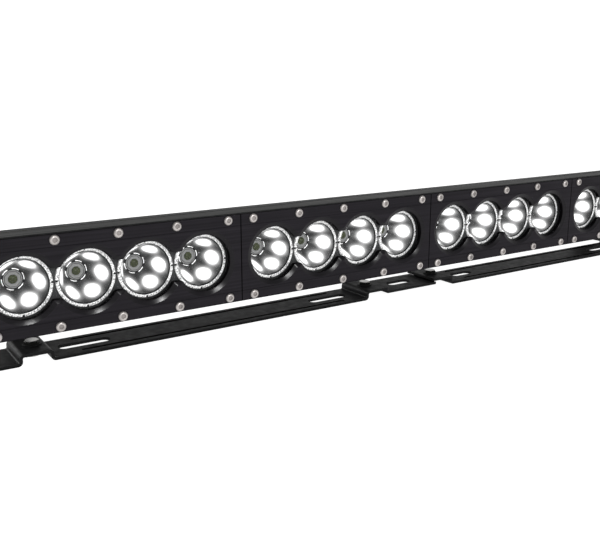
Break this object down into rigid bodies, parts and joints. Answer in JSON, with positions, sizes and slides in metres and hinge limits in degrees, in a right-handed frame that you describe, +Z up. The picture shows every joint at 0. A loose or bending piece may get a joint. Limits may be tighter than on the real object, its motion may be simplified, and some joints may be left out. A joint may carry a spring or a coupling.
{
  "type": "led light bar",
  "caption": "Straight modular LED light bar with deep round reflectors behind scalloped bezels, tilting on two rear feet above a slotted sheet-steel mounting strap.",
  "frame": {"origin": "centre of the bounding box in X and Y, on the surface the strap lies on", "axes": "+X along the bar, -Y out of the lit face, +Z up"},
  "size_m": [0.86, 0.1086, 0.1004],
  "materials": {
    "housing": "satin black anodised",
    "cast": "black powder-coated die casting",
    "seal": "closed-cell",
    "blacksteel": "blackened",
    "face": "satin black coating",
    "steel": "stainless",
    "lens": "clear",
    "mirror": "polished reflector",
    "plastic": "moulded",
    "board": "black solder resist",
    "emitter": "ceramic and phosphor",
    "driver": "green circuit board",
    "parts": "component bodies",
    "lead": "insulated wire",
    "bronze": "sintered bush",
    "coated": "black powder-coated sheet steel"
  },
  "bodies": {
    "mount": {"strap_left": "coated", "strap_right": "coated", "strap_joiner": "coated", "strap_bolts": "steel", "strap_washers": "blacksteel", "clinch_nuts": "steel", "foot_left": "coated", "foot_right": "coated", "pivot_bolt_left": "steel", "pivot_bolt_right": "steel", "pivot_nut_left": "steel", "pivot_nut_right": "steel", "pivot_washers": "steel"},
    "bar": {"housing": "housing", "end_cap_left": "cast", "end_cap_right": "cast", "end_gasket_left": "seal", "end_gasket_right": "seal", "end_cap_screws": "blacksteel", "bezel_1": "face", "bezel_2": "face", "bezel_3": "face", "bezel_4": "face", "bezel_gaskets": "seal", "bezel_screws": "steel", "lens_1": "lens", "lens_2": "lens", "lens_3": "lens", "lens_4": "lens", "reflectors_1": "mirror", "reflectors_2": "mirror", "reflectors_3": "mirror", "reflectors_4": "mirror", "optic_holder_1": "plastic", "optic_holder_2": "plastic", "optic_holder_3": "plastic", "optic_holder_4": "plastic", "led_board_1": "board", "led_board_2": "board", "led_board_3": "board", "led_board_4": "board", "led_emitters": "emitter", "led_board_screws": "steel", "driver_board_left": "driver", "driver_board_right": "driver", "driver_components": "parts", "led_leads": "lead", "cable_gland": "plastic", "gland_cap": "plastic", "vent_plug": "plastic", "mount_rail": "housing", "rail_screws": "steel", "rivet_nuts": "steel", "pivot_block_left": "housing", "pivot_block_right": "housing", "pivot_block_screws": "steel", "pivot_bush_left": "bronze", "pivot_bush_right": "bronze"}
  },
  "joints": [
    {"name": "bar_tilt", "type": "hinge", "parent": "mount", "child": "bar", "pos_m": [0, 0.0423, 0.0502], "axis": [-1, 0, 0], "range_deg": [-10, 30]}
  ]
}
